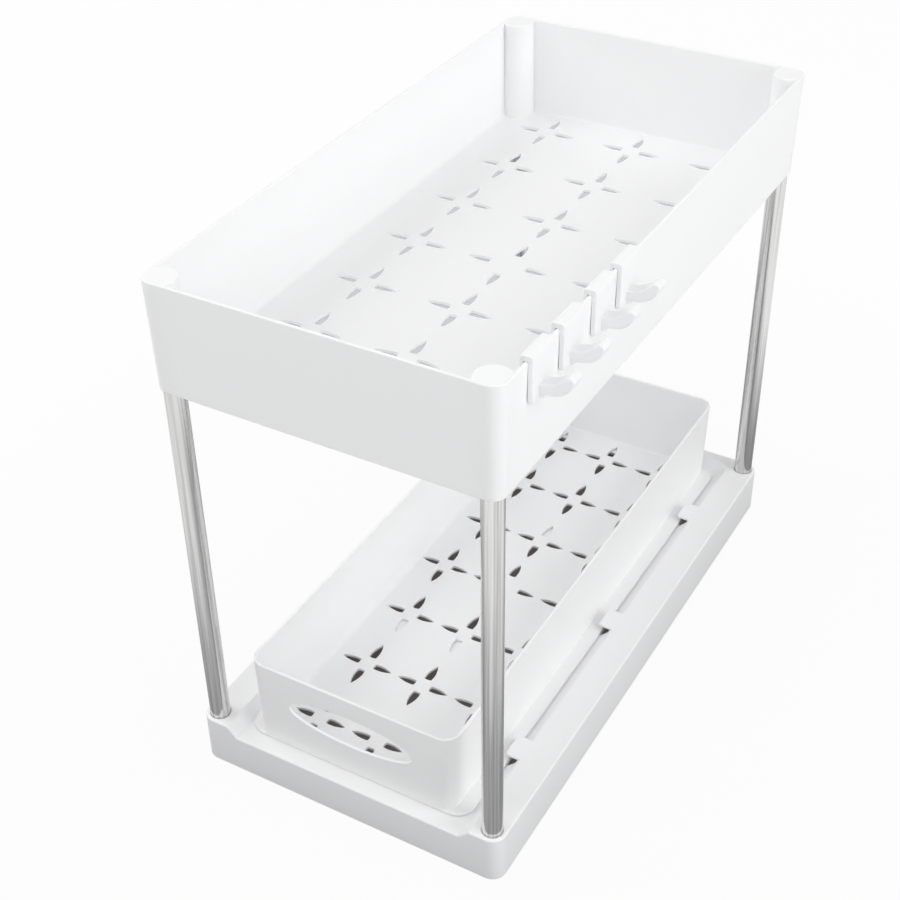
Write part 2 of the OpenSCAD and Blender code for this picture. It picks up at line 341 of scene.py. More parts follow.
@dataclass(frozen=True)
class Tub:
    """A rounded tub that leans outwards from its foot to its rim."""

    width: float
    length: float
    corner: float
    foot_z: float
    rim_z: float
    wall: float
    floor: float
    lean_x: float
    lean_y: float
    rim_round: float
    foot_round: float
    inner_fillet: float
    y: float = 0.0
    crown: float = 0.03 * MM

    def level(self, inset: float, z: float) -> Ring:
        """One ring of the wall, this far in from the outer face at its height."""
        share = min(1.0, max(0.0, (self.rim_z - z) / (self.rim_z - self.foot_z)))
        in_x = inset + self.lean_x * share
        in_y = inset + self.lean_y * share
        return Ring(self.width - 2 * in_x, self.length - 2 * in_y, self.corner - in_x, z, y=self.y)

    def rings(self) -> list[Ring]:
        """The rings from the foot's outside over the rim to the floor's inside."""
        out = [
            self.level(self.foot_round * (1 - s), self.foot_z + self.foot_round * (1 - c))
            for s, c in quarter()
        ]
        rim = [
            self.level(self.rim_round * (1 - c), self.rim_z - self.rim_round * (1 - s))
            for s, c in quarter()
        ]
        back = [
            self.level(
                self.wall - self.rim_round * (1 - s), self.rim_z - self.crown - self.rim_round * (1 - c)
            )
            for s, c in quarter()
        ]
        floor_z = self.foot_z + self.floor
        fillet = [
            self.level(self.wall + self.inner_fillet * (1 - c), floor_z + self.inner_fillet * (1 - s))
            for s, c in quarter(ROUND_STEPS + 1)
        ]
        return out + rim + back + fillet


# Slots


@dataclass(frozen=True)
class Slot:
    """One leaf-shaped slot: blunt and slightly rounded at its start, pointed at its end."""

    length: float
    width: float
    start: float
    widest_share: float = 0.27
    blunt_share: float = 0.53

    def cutter(self, z: float, depth: float) -> bpy.types.Object:
        """Make the slot's cutting solid, pointing along +X from its start.

        Args:
            z: The height of the cutter's middle.
            depth: The cutter's height.

        Returns:
            The cutting solid.
        """
        widest = self.length * self.widest_share
        ahead = self.length - widest
        radius = (ahead**2 + self.width**2 / 4) / self.width
        blunt = self.length * self.blunt_share
        spots = [(widest, radius - self.width / 2, radius), (widest, self.width / 2 - radius, radius)]
        spots.append((blunt, 0.0, blunt))
        made = []
        for x, y, r in spots:
            deselect_all()
            bpy.ops.mesh.primitive_cylinder_add(vertices=144, radius=r, depth=depth, location=(x, y, z))
            made.append(place_in_mesh(bpy.context.active_object))
        work(made[0], made[1], Cut.KEEP_SHARED)
        work(made[0], made[2], Cut.KEEP_SHARED)
        return made[0]


@dataclass(frozen=True)
class SlotGrid:
    """Rows and columns of four-slot crosses in a floor.

    The middle cross has its slots further out, and where the floor is narrow
    its two neighbours across the floor make room for them.
    """

    across: Slot
    along: Slot
    pitch_x: float
    pitch_y: float
    middle_shift: float
    side_shift: float = 0.0
    columns: int = 3
    rows: int = 7
    y: float = 0.0

    def crosses(self) -> list[tuple[int, int, float, float]]:
        """Each cross as (column, row, x, y)."""
        found = []
        for column in range(-(self.columns // 2), self.columns // 2 + 1):
            for row in range(-(self.rows // 2), self.rows // 2 + 1):
                x = column * (self.pitch_x + (self.side_shift if row == 0 else 0.0))
                found.append((column, row, x, self.y + row * self.pitch_y))
        return found

    def places(self, pick_along: bool) -> list[tuple[float, float, float, float]]:
        """The slots of one kind as (cross x, cross y, angle, start)."""
        slot = self.along if pick_along else self.across
        quarter_turn = math.pi / 2
        angles = (quarter_turn, -quarter_turn) if pick_along else (0.0, math.pi)
        found = []
        for column, row, x, y in self.crosses():
            start = slot.start + (self.middle_shift if (column, row) == (0, 0) else 0.0)
            found += [(x, y, angle, start) for angle in angles]
        return found

    def score(self, obj: bpy.types.Object, levels: Sequence[float]) -> None:
        """Divide the floor's faces along the slots' middle lines, so that no slot lies inside a face.

        Args:
            obj: The piece whose floor is divided.
            levels: The heights of the floor's two faces.
        """

        def on_floor(face: bmesh.types.BMFace) -> bool:
            middle = face.calc_center_median()
            return abs(face.normal.z) > 0.999 and any(abs(middle.z - z) < NEAR for z in levels)

        lines = [((x, 0, 0), (1, 0, 0)) for x in {round(x, 6) for _, _, x, _ in self.crosses()}]
        lines += [((0, y, 0), (0, 1, 0)) for y in {round(y, 6) for _, _, _, y in self.crosses()}]
        for point, across in sorted(lines):
            edit(obj, "FACE")
            select_faces(obj, on_floor)
            bpy.ops.mesh.bisect(plane_co=point, plane_no=across)
        deselect_all()

    def cutters(self, z: float, depth: float) -> bpy.types.Object:
        """All the slots' cutting solids as one object."""
        parts = []
        for pick_along in (False, True):
            slot = self.along if pick_along else self.across
            shape = slot.cutter(z, depth)
            for n, (x, y, angle, start) in enumerate(self.places(pick_along)):
                place = (
                    Matrix.Translation((x, y, 0))
                    @ Matrix.Rotation(angle, 4, "Z")
                    @ Matrix.Translation((start, 0, 0))
                )
                parts.append(twin(shape, place, f"slot_{pick_along}_{n}"))
            bpy.data.objects.remove(shape)
        return joined(parts, "slots")


def soften_slots(obj: bpy.types.Object, top: float, width: float) -> None:
    """Round the upper edges of the slots in a floor.

    Args:
        obj: The piece that the slots are cut in.
        top: The height of the floor's upper face.
        width: The size of the rounding.
    """

    def on_slot(edge: bmesh.types.BMEdge) -> bool:
        if len(edge.link_faces) != 2 or any(abs(v.co.z - top) > NEAR for v in edge.verts):
            return False
        tilts = sorted(abs(face.normal.z) for face in edge.link_faces)
        return tilts[0] < 0.1 and tilts[1] > 0.9

    edit(obj)
    bpy.ops.mesh.select_all(action="SELECT")
    bpy.ops.mesh.remove_doubles(threshold=2 * NEAR)
    edit(obj, "EDGE")
    LOG.info("%s: %d slot edges rounded", obj.name, select_edges(obj, on_slot))
    bpy.ops.mesh.bevel(offset=width, segments=2, profile=0.5, affect="EDGES", loop_slide=False)
    deselect_all()


# Finishes


@dataclass(frozen=True)
class MouldedPlastic:
    """White injection-moulded plastic with a faint grain, which lets a little light through."""

    name: str
    colour: tuple[float, float, float] = (0.94, 0.942, 0.947)
    roughness: float = 0.42
    grain: float = 900.0
    bump: float = 0.06
    glow_share: float = 0.0
    glow_depth: float = 2.5 * MM

    def material(self) -> bpy.types.Material:
        """Build the plastic's material."""
        made = bpy.data.materials.new(self.name)
        made.use_nodes = True
        nodes, links = made.node_tree.nodes, made.node_tree.links
        shader = nodes["Principled BSDF"]
        place = nodes.new("ShaderNodeTexCoord")
        drift = nodes.new("ShaderNodeTexNoise")
        drift.inputs["Scale"].default_value = 11.0
        drift.inputs["Detail"].default_value = 3.0
        shade = nodes.new("ShaderNodeValToRGB")
        shade.color_ramp.elements[0].color = (*(c * 0.985 for c in self.colour), 1)
        shade.color_ramp.elements[1].color = (*(min(1.0, c * 1.01) for c in self.colour), 1)
        fine = nodes.new("ShaderNodeTexNoise")
        fine.inputs["Scale"].default_value = self.grain
        fine.inputs["Detail"].default_value = 2.0
        gloss = nodes.new("ShaderNodeMapRange")
        gloss.inputs["To Min"].default_value = self.roughness - 0.05
        gloss.inputs["To Max"].default_value = self.roughness + 0.07
        bump = nodes.new("ShaderNodeBump")
        bump.inputs["Strength"].default_value = self.bump
        bump.inputs["Distance"].default_value = 0.05 * MM
        links.new(place.outputs["Object"], drift.inputs["Vector"])
        links.new(place.outputs["Object"], fine.inputs["Vector"])
        links.new(drift.outputs["Fac"], shade.inputs["Fac"])
        links.new(shade.outputs["Color"], shader.inputs["Base Color"])
        links.new(drift.outputs["Fac"], gloss.inputs["Value"])
        links.new(gloss.outputs["Result"], shader.inputs["Roughness"])
        links.new(fine.outputs["Fac"], bump.inputs["Height"])
        links.new(bump.outputs["Normal"], shader.inputs["Normal"])
        shader.inputs["IOR"].default_value = 1.49
        shader.inputs["Subsurface Weight"].default_value = self.glow_share
        shader.inputs["Subsurface Radius"].default_value = (1.0, 1.0, 1.0)
        shader.inputs["Subsurface Scale"].default_value = self.glow_depth
        return made


@dataclass(frozen=True)
class PolishedSteel:
    """Steel tube with fine polishing lines along its length."""

    name: str
    light: tuple[float, float, float] = (0.79, 0.785, 0.78)
    dark: tuple[float, float, float] = (0.53, 0.525, 0.52)
    roughness: float = 0.08
    lines: float = 640.0

    def material(self) -> bpy.types.Material:
        """Build the steel's material."""
        made = bpy.data.materials.new(self.name)
        made.use_nodes = True
        nodes, links = made.node_tree.nodes, made.node_tree.links
        shader = nodes["Principled BSDF"]
        place = nodes.new("ShaderNodeTexCoord")
        stretch = nodes.new("ShaderNodeMapping")
        stretch.inputs["Scale"].default_value = (1.0, 1.0, 0.012)
        lines = nodes.new("ShaderNodeTexNoise")
        lines.inputs["Scale"].default_value = self.lines
        lines.inputs["Detail"].default_value = 5.0
        shade = nodes.new("ShaderNodeValToRGB")
        shade.color_ramp.elements[0].position = 0.35
        shade.color_ramp.elements[0].color = (*self.dark, 1)
        shade.color_ramp.elements[1].position = 0.62
        shade.color_ramp.elements[1].color = (*self.light, 1)
        gloss = nodes.new("ShaderNodeMapRange")
        gloss.inputs["To Min"].default_value = self.roughness
        gloss.inputs["To Max"].default_value = self.roughness + 0.12
        bump = nodes.new("ShaderNodeBump")
        bump.inputs["Strength"].default_value = 0.12
        bump.inputs["Distance"].default_value = 0.05 * MM
        links.new(place.outputs["Object"], stretch.inputs["Vector"])
        links.new(stretch.outputs["Vector"], lines.inputs["Vector"])
        links.new(lines.outputs["Fac"], shade.inputs["Fac"])
        links.new(shade.outputs["Color"], shader.inputs["Base Color"])
        links.new(lines.outputs["Fac"], gloss.inputs["Value"])
        links.new(gloss.outputs["Result"], shader.inputs["Roughness"])
        links.new(lines.outputs["Fac"], bump.inputs["Height"])
        links.new(bump.outputs["Normal"], shader.inputs["Normal"])
        shader.inputs["Metallic"].default_value = 1.0
        return made


def dress(obj: bpy.types.Object, finish: bpy.types.Material) -> None:
    """Give a piece its one material."""
    obj.data.materials.clear()
    obj.data.materials.append(finish)


# Pieces


def tube_axes() -> list[tuple[str, float, float]]:
    """The tube nodes with the x and y of their axes."""
    found = []
    for name in ("tube_front_left", "tube_front_right", "tube_back_left", "tube_back_right"):
        low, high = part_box(name)
        found.append((name, (low.x + high.x) / 2, (low.y + high.y) / 2))
    return found


def round_bar(name: str, x: float, y: float, levels: Sequence[tuple[float, float]]) -> bpy.types.Object:
    """Make a turned upright solid.

    Args:
        name: The object's name.
        x: The axis's x.
        y: The axis's y.
        levels: The radius and the height of each ring, upwards.

    Returns:
        The solid.
    """
    return loft(name, [Ring(2 * r, 2 * r, r, z, x=x, y=y) for r, z in levels])


@dataclass
class TopTray:
    """The slotted tray with a blind column in each corner for its tube."""

    wall: float = 2.2 * MM
    lean: float = 1.5 * MM
    corner: float = 9.2 * MM
    rim_round: float = 0.9 * MM
    foot_round: float = 1.2 * MM
    inner_fillet: float = 2.5 * MM
    column_drop: float = 0.3 * MM
    column_inset: float = 0.3 * MM
    column_radius: float = 10.4 * MM
    column_lean: float = 1.0 * MM
    column_round: float = 0.8 * MM
    socket_radius: float = 6.45 * MM
    column_cap: float = 6.0 * MM
    slot_round: float = 0.25 * MM
    slot: Slot = Slot(15.2 * MM, 5.5 * MM, 6.4 * MM)
    pitch_x: float = 64.4 * MM
    pitch_y: float = 59.3 * MM
    middle_shift: float = 5.6 * MM

    def build(self) -> bpy.types.Object:
        """Model the tray."""
        low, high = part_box("top_tray")
        tub = Tub(
            high.x - low.x, high.y - low.y, self.corner, low.z, high.z, self.wall, self.wall,
            self.lean, self.lean, self.rim_round, self.foot_round, self.inner_fillet,
        )
        tray = loft("tray", tub.rings())
        top = high.z - self.column_drop
        core = loft("core", [tub.level(self.column_inset, z) for z in (low.z, high.z)])
        for name, x, y in tube_axes():
            levels = [(self.column_radius + self.column_lean, low.z + self.foot_round)]
            levels += [
                (self.column_radius - self.column_round * (1 - c), top - self.column_round * (1 - s))
                for s, c in quarter()
            ]
            column = round_bar(f"column_{name}", x, y, levels)
            work(column, core, Cut.KEEP_SHARED, keep=True)
            work(tray, column, Cut.ADD)
            socket = [(self.socket_radius, low.z - CLEAR), (self.socket_radius, top - self.column_cap)]
            work(tray, round_bar(f"socket_{name}", x, y, socket), Cut.TAKE_AWAY)
        bpy.data.objects.remove(core)
        grid = SlotGrid(self.slot, self.slot, self.pitch_x, self.pitch_y, self.middle_shift)
        grid.score(tray, (low.z, low.z + self.wall))
        work(tray, grid.cutters(low.z + self.wall / 2, self.wall + 2 * CLEAR), Cut.TAKE_AWAY)
        soften_slots(tray, low.z + self.wall, self.slot_round)
        return smooth(tray)


@dataclass
class Drawer:
    """The slotted drawer with a handle oval in its front and a flange round its foot."""

    wall: float = 2.0 * MM
    width: float = 144 * MM
    corner: float = 10.5 * MM
    lean_x: float = 2.0 * MM
    lean_y: float = 1.5 * MM
    rim_round: float = 0.85 * MM
    foot_round: float = 0.6 * MM
    inner_fillet: float = 2.5 * MM
    flange: float = 2.0 * MM
    flange_corner: float = 12 * MM
    flange_round: float = 0.7 * MM
    handle_width: float = 87 * MM
    handle_height: float = 24 * MM
    handle_lift: float = 35.7 * MM
    handle_round: float = 0.6 * MM
    slot_round: float = 0.25 * MM
    across: Slot = Slot(13.2 * MM, 4.8 * MM, 5.5 * MM)
    along: Slot = Slot(14 * MM, 5.5 * MM, 6.3 * MM)
    pitch_x: float = 42.5 * MM
    pitch_y: float = 55.9 * MM
    middle_shift: float = 5.6 * MM
    side_shift: float = 4.7 * MM

    def build(self) -> bpy.types.Object:
        """Model the drawer."""
        low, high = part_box("drawer")
        middle = (low.y + high.y) / 2
        length = high.y - low.y
        tub = Tub(
            self.width, length, self.corner, low.z, high.z, self.wall, self.wall,
            self.lean_x, self.lean_y, self.rim_round, self.foot_round, self.inner_fillet, y=middle,
        )
        drawer = loft("drawer_shell", tub.rings())
        work(drawer, self.foot_flange(low, high, middle), Cut.ADD)
        work(drawer, self.handle_cutter(low), Cut.TAKE_AWAY)
        self.round_handle(drawer, low)
        grid = SlotGrid(
            self.across, self.along, self.pitch_x, self.pitch_y,
            self.middle_shift, self.side_shift, y=middle,
        )
        grid.score(drawer, (low.z, low.z + self.wall))
        work(drawer, grid.cutters(low.z + self.wall / 2, self.wall + 2 * CLEAR), Cut.TAKE_AWAY)
        soften_slots(drawer, low.z + self.wall, self.slot_round)
        return smooth(drawer)

    def foot_flange(self, low: Vector, high: Vector, middle: float) -> bpy.types.Object:
        """The plate under the drawer, which stands out on both sides of its foot."""
        width, length = high.x - low.x, high.y - low.y - 2 * self.lean_y
        levels = [(self.flange_round * (1 - s), self.flange_round * (1 - c)) for s, c in quarter(3)]
        levels += [
            (self.flange_round * (1 - c), self.flange - self.flange_round * (1 - s)) for s, c in quarter(3)
        ]
        rings = [
            Ring(width - 2 * i, length - 2 * i, self.flange_corner - i, low.z + z, y=middle)
            for i, z in levels
        ]
        return loft("flange", rings)

    def handle_cutter(self, low: Vector) -> bpy.types.Object:
        """The oval bar that cuts the handle hole through the front wall."""
        depth = 20 * MM
        place = (0, low.y, low.z + self.handle_lift)
        deselect_all()
        bpy.ops.mesh.primitive_cylinder_add(
            vertices=96, radius=0.5, depth=depth, location=place, rotation=(math.pi / 2, 0, 0)
        )
        oval = bpy.context.active_object
        bpy.ops.transform.resize(value=(self.handle_width, 1, self.handle_height), center_override=place)
        return place_in_mesh(oval)

    def round_handle(self, drawer: bpy.types.Object, low: Vector) -> None:
        """Round the handle hole's edges on both faces of the wall."""
        half_w, half_h = self.handle_width / 2, self.handle_height / 2
        middle = low.z + self.handle_lift

        def on_oval(edge: bmesh.types.BMEdge) -> bool:
            for v in edge.verts:
                if v.co.y > low.y + self.corner:
                    return False
                if abs((v.co.x / half_w) ** 2 + ((v.co.z - middle) / half_h) ** 2 - 1) > 0.01:
                    return False
            step = edge.verts[0].co - edge.verts[1].co
            return abs(step.y) < 0.5 * step.length

        edit(drawer, "EDGE")
        LOG.info("drawer: %d handle edges rounded", select_edges(drawer, on_oval))
        bevel_edges(self.handle_round, 3)
        deselect_all()


@dataclass
class BaseFrame:
    """The base with a sloped drawer channel, a ladder floor, tabs and tube sockets."""

    wall: float = 2.4 * MM
    corner: float = 9.2 * MM
    channel_depth: float = 7 * MM
    channel_width: float = 160 * MM
    channel_corner: float = 5 * MM
    back_rim: float = 7.5 * MM
    ledge_round: float = 2.0 * MM
    floor_fillet: float = 2.5 * MM
    top_round: float = 1.4 * MM
    opening_width: float = 138 * MM
    opening_corner: float = 4 * MM
    front_member: float = 21 * MM
    back_member: float = 29 * MM
    bar_width: float = 18 * MM
    bar_pitch: float = 138 * MM
    tab_length: float = 17.4 * MM
    tab_thickness: float = 1.5 * MM
    tab_reach: float = 10 * MM
    tab_from_front: float = 73.8 * MM
    tab_pitch: float = 133.4 * MM
    tab_count: int = 3
    tab_gap: float = 2.2 * MM
    tab_corner: float = 2.0 * MM
    hole_from: float = 79.5 * MM
    hole_short: float = 1.8 * MM
    socket_depth: float = 28 * MM
    socket_radius: float = 6.45 * MM
    lead_in: float = 0.6 * MM

    def build(self) -> bpy.types.Object:
        """Model the base."""
        self.low, self.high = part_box("base_frame")
        self.top = self.high.z
        base = self.block("base", 0.0, self.low.z, self.top)
        channel = self.channel("channel", 0.0)
        for tab in self.tabs():
            work(channel, tab, Cut.TAKE_AWAY)
        work(base, channel, Cut.TAKE_AWAY)
        hollow = self.block("hollow", self.wall, self.low.z - CLEAR, self.top - self.wall)
        work(hollow, self.channel("channel_skin", self.wall), Cut.TAKE_AWAY)
        work(base, hollow, Cut.TAKE_AWAY)
        for opening in self.openings():
            work(base, opening, Cut.TAKE_AWAY)
        for hole in self.tab_holes():
            work(base, hole, Cut.TAKE_AWAY)
        self.round_top(base)
        self.sockets(base)
        return smooth(base)

    def block(self, name: str, inset: float, low: float, high: float) -> bpy.types.Object:
        """A rounded block, this far inside the base's outline."""
        size = self.high - self.low
        rings = [
            Ring(size.x - 2 * inset, size.y - 2 * inset, self.corner - inset, z) for z in (low, high)
        ]
        return loft(name, rings)

    def channel_profile(self, skin: float) -> list[tuple[float, float]]:
        """The channel's wall as (distance out from the floor's edge, height above the floor)."""
        run = skin * (math.sqrt(2) - 1)
        if skin:
            rise = self.channel_depth + skin + CLEAR
            return [(run, -skin), (run + rise, -skin + rise)]
        fillet, edge, depth = self.floor_fillet, self.ledge_round, self.channel_depth
        turn = math.tan(math.pi / 8)
        points = []
        for n in range(ROUND_STEPS + 1):
            angle = math.pi / 4 * n / ROUND_STEPS
            points.append((-fillet * turn + fillet * math.sin(angle), fillet * (1 - math.cos(angle))))
        for n in range(ROUND_STEPS):
            angle = math.pi / 4 * (1 - n / ROUND_STEPS)
            points.append(
                (depth + edge * turn - edge * math.sin(angle), depth - edge * (1 - math.cos(angle)))
            )
        points.append((depth + edge * turn, depth + CLEAR))
        return points

    def channel(self, name: str, skin: float) -> bpy.types.Object:
        """The drawer's channel as a cutting solid that runs out past the front."""
        front = self.low.y - 4 * self.corner
        back = self.high.y - self.back_rim - self.channel_depth
        floor = self.top - self.channel_depth
        rings = []
        for out, up in self.channel_profile(skin):
            near, far = front - out, back + out
            rings.append(
                Ring(self.channel_width + 2 * out, far - near, self.channel_corner + out, floor + up,
                     y=(near + far) / 2)
            )
        return loft(name, rings)

    def openings(self) -> list[bpy.types.Object]:
        """The three openings of the ladder floor as cutting solids."""
        near, far = (self.bar_pitch - self.bar_width) / 2, (self.bar_pitch + self.bar_width) / 2
        front, back = self.low.y + self.front_member, self.high.y - self.back_member
        made = []
        for number, (start, end) in enumerate([(front, -far), (-near, near), (far, back)]):
            rings = [
                Ring(self.opening_width, end - start, self.opening_corner, z, y=(start + end) / 2)
                for z in (self.low.z - CLEAR, self.top)
            ]
            made.append(loft(f"opening_{number}", rings))
        return made

    def tab_middles(self) -> list[float]:
        """The y of each tab's middle."""
        return [self.low.y + self.tab_from_front + n * self.tab_pitch for n in range(self.tab_count)]

    def plate(self, name: str, x: tuple[float, float], y: tuple[float, float], z: tuple[float, float],
              corner: float) -> bpy.types.Object:
        """A plate with rounded corners between these limits."""
        rings = [
            Ring(abs(x[1] - x[0]), y[1] - y[0], corner, h, x=(x[0] + x[1]) / 2, y=(y[0] + y[1]) / 2)
            for h in z
        ]
        return loft(name, rings)

    def tabs(self) -> list[bpy.types.Object]:
        """The hold-down tabs, which are left standing when the channel is cut."""
        inner = self.channel_width / 2 + self.channel_depth - self.tab_reach
        outer = self.channel_width / 2 + self.channel_depth + 4 * self.tab_corner
        half = self.tab_length / 2
        return [
            self.plate(
                f"tab_{side}_{middle:.3f}", (side * inner, side * outer), (middle - half, middle + half),
                (self.top - self.tab_thickness, self.top + 2 * CLEAR), self.tab_corner,
            )
            for side in SIDES for middle in self.tab_middles()
        ]

    def tab_holes(self) -> list[bpy.types.Object]:
        """The moulding holes under and beside the tabs as cutting solids."""
        outer = self.channel_width / 2 + self.channel_depth - self.hole_short
        half = self.tab_length / 2
        made = []
        for side in SIDES:
            for middle in self.tab_middles():
                x = (side * self.hole_from, side * outer)
                spans = [
                    (middle - half - self.tab_gap / 2, middle + half, self.top - self.tab_thickness),
                    (middle - half - self.tab_gap, middle - half, self.top + CLEAR),
                ]
                for near, far, high in spans:
                    made.append(
                        self.plate(f"tab_hole_{side}_{near:.3f}", x, (near, far), (self.low.z, high), 0.2 * MM)
                    )
        return made

    def round_top(self, base: bpy.types.Object) -> None:
        """Round the outer top edge, and the channel's edge in the front face."""
        size_x, size_y = self.high.x - self.corner, self.high.y - self.corner

        def outer(v: bmesh.types.BMVert) -> bool:
            out_x, out_y = max(0.0, abs(v.co.x) - size_x), max(0.0, abs(v.co.y) - size_y)
            return abs(math.hypot(out_x, out_y) - self.corner) < 0.02 * MM

        def on_rim(edge: bmesh.types.BMEdge) -> bool:
            a, b = edge.verts
            if len(edge.link_faces) != 2 or not (outer(a) and outer(b)):
                return False
            if min(a.co.z, b.co.z) < self.top - self.channel_depth - 0.1 * MM:
                return False
            return edge.calc_face_angle() > math.radians(30)

        edit(base, "EDGE")
        LOG.info("base: %d rim edges rounded", select_edges(base, on_rim))
        bevel_edges(self.top_round, ROUND_STEPS)
        deselect_all()

    def sockets(self, base: bpy.types.Object) -> None:
        """Add the tube sleeves and bore their sockets."""
        seat = self.top - self.socket_depth
        for name, x, y in tube_axes():
            sleeve_radius = self.corner - 0.3 * MM
            sleeve = [(sleeve_radius, seat - self.wall), (sleeve_radius, self.top - self.wall / 2)]
            work(base, round_bar(f"sleeve_{name}", x, y, sleeve), Cut.ADD)
            bore = [
                (self.socket_radius, seat),
                (self.socket_radius, self.top - self.lead_in),
                (self.socket_radius + self.lead_in, self.top),
                (self.socket_radius + self.lead_in, self.top + CLEAR),
            ]
            work(base, round_bar(f"bore_{name}", x, y, bore), Cut.TAKE_AWAY)


@dataclass
class CornerTubes:
    """The four polished corner tubes."""

    wall: float = 0.8 * MM
    edge: float = 0.25 * MM

    def build(self) -> list[tuple[str, bpy.types.Object]]:
        """Model each tube at its node's place."""
        made = []
        for name, x, y in tube_axes():
            low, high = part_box(name)
            outer = (high.x - low.x) / 2
            inner = outer - self.wall
            levels = [
                (outer - self.edge, low.z), (outer, low.z + self.edge),
                (outer, high.z - self.edge), (outer - self.edge, high.z),
                (inner, high.z), (inner, low.z),
            ]
            rings = [Ring(2 * r, 2 * r, r, z, x=x, y=y) for r, z in levels]
            made.append((name, smooth(loft(f"steel_{name}", rings, closed=True))))
        return made


@dataclass
class RimHooks:
    """The hooks that clip over the tray's right wall."""

    width: float = 22.6 * MM
    leg: float = 2.4 * MM
    strap: float = 3.0 * MM
    fit: float = 0.3 * MM
    rim_gap: float = 0.05 * MM
    plate_drop: float = 24 * MM
    leg_drop: float = 11 * MM
    bend: float = 2.4 * MM
    plate_corner: float = 2.4 * MM
    soft: float = 0.9 * MM
    finger_width: float = 9 * MM
    finger_soft: float = 1.1 * MM
    finger_tip: float = 2.85 * MM
    finger: float = 6 * MM
    finger_radius: float = 14.5 * MM
    finger_inner_radius: float = 15.1 * MM
    finger_reach: float = 4.3 * MM
    finger_taper: float = 3.4 * MM
    finger_rise: float = 2.8 * MM
    finger_turn: float = math.radians(64.5)
    rib: float = 2.2 * MM

    def build(self) -> list[tuple[str, bpy.types.Object]]:
        """Model the first hook and copy it to the other nodes' places."""
        names = [f"hook_{n}" for n in (1, 2, 3, 4)]
        low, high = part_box(names[0])
        self.middle = (low.y + high.y) / 2
        self.rim = high.z - self.strap - self.fit
        self.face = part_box("top_tray")[1].x + self.fit + self.leg
        clip = self.clip(low.x, high.z)
        work(clip, self.root(), Cut.ADD)
        work(clip, self.curl(), Cut.ADD)
        first = smooth(clip)
        made = [(names[0], first)]
        for name in names[1:]:
            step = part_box(name)[0].y - low.y
            made.append((name, twin(first, Matrix.Translation((0, step, 0)), f"{name}_body")))
        first.name = "hook_1_body"
        return made

    def block(self, size: tuple[float, float, float], place: tuple[float, float, float]) -> bpy.types.Object:
        """A box of this size round this middle."""
        deselect_all()
        bpy.ops.mesh.primitive_cube_add(size=1, location=place)
        block = bpy.context.active_object
        bpy.ops.object.mode_set(mode="EDIT")
        bpy.ops.transform.resize(value=size, center_override=place)
        return place_in_mesh(block)

    def clip(self, inside: float, top: float) -> bpy.types.Object:
        """The bent clip: a strap over the rim with a leg inside and a plate outside."""
        under = self.rim + self.rim_gap
        leg_in = inside + self.leg
        plate_in = self.face - self.leg - self.fit + self.rim_gap
        foot = self.rim - self.plate_drop
        clip = self.block(
            (self.face - inside, self.width, top - under),
            ((inside + self.face) / 2, self.middle, (top + under) / 2),
        )
        for x in (leg_in, plate_in):
            edit(clip)
            bpy.ops.mesh.select_all(action="SELECT")
            bpy.ops.mesh.bisect(plane_co=(x, 0, 0), plane_no=(1, 0, 0))
        for start, end, drop in (
            (inside, leg_in, self.leg_drop), (plate_in, self.face, self.plate_drop)
        ):
            edit(clip, "FACE")
            select_faces(
                clip,
                lambda f, x=(start + end) / 2: f.normal.z < -0.9
                and abs(f.calc_center_median().x - x) < CLEAR
                and abs(f.calc_center_median().z - under) < NEAR,
            )
            bpy.ops.mesh.extrude_region_move(
                TRANSFORM_OT_translate={"value": (0, 0, -drop - self.rim_gap)}
            )
        bpy.ops.mesh.select_all(action="SELECT")
        bpy.ops.mesh.dissolve_limited(angle_limit=math.radians(1))

        def bend(edge: bmesh.types.BMEdge) -> bool:
            a, b = (v.co for v in edge.verts)
            outside = min(abs(a.x - inside), abs(a.x - self.face)) < NEAR
            return outside and abs(a.y - b.y) > CLEAR and max(top - a.z, top - b.z) < NEAR

        def lower_corner(edge: bmesh.types.BMEdge) -> bool:
            a, b = (v.co for v in edge.verts)
            return abs(a.x - b.x) > CLEAR and max(abs(a.z - foot), abs(b.z - foot)) < NEAR

        def against_rim(point: Vector) -> bool:
            return min(abs(point.x - plate_in), abs(point.x - leg_in), abs(point.z - under)) < NEAR

        def outline(edge: bmesh.types.BMEdge) -> bool:
            sharp = edge.is_manifold and edge.is_convex and edge.calc_face_angle() > 0.8
            return sharp and not all(against_rim(v.co) for v in edge.verts)

        for wanted, width in (
            (bend, self.bend), (lower_corner, self.plate_corner), (outline, self.soft)
        ):
            edit(clip, "EDGE")
            LOG.info("clip: %d edges rounded", select_edges(clip, wanted))
            bevel_edges(width, 2 * ROUND_STEPS if wanted is bend else ROUND_STEPS)
        deselect_all()
        return clip

    def root(self) -> bpy.types.Object:
        """The rib that the finger grows from."""
        depth = self.rib + 0.7 * self.leg
        height = self.finger_rise + self.finger - self.finger_soft
        root = self.block(
            (depth, self.finger_width - self.finger_soft, height),
            (self.face + self.rib - depth / 2, self.middle, self.rim - self.plate_drop + height / 2),
        )
        edit(root, "EDGE")
        bpy.ops.mesh.select_all(action="SELECT")
        bevel_edges(self.finger_soft, ROUND_STEPS)
        deselect_all()
        return root

    def disc(self, x: float, z: float, radius: float, width: float, sides: int = 64) -> bpy.types.Object:
        """A disc that lies across the hook, in its middle."""
        deselect_all()
        bpy.ops.mesh.primitive_cylinder_add(
            vertices=sides, radius=radius, depth=width, location=(x, self.middle, z),
            rotation=(math.pi / 2, 0, 0),
        )
        return place_in_mesh(bpy.context.active_object)

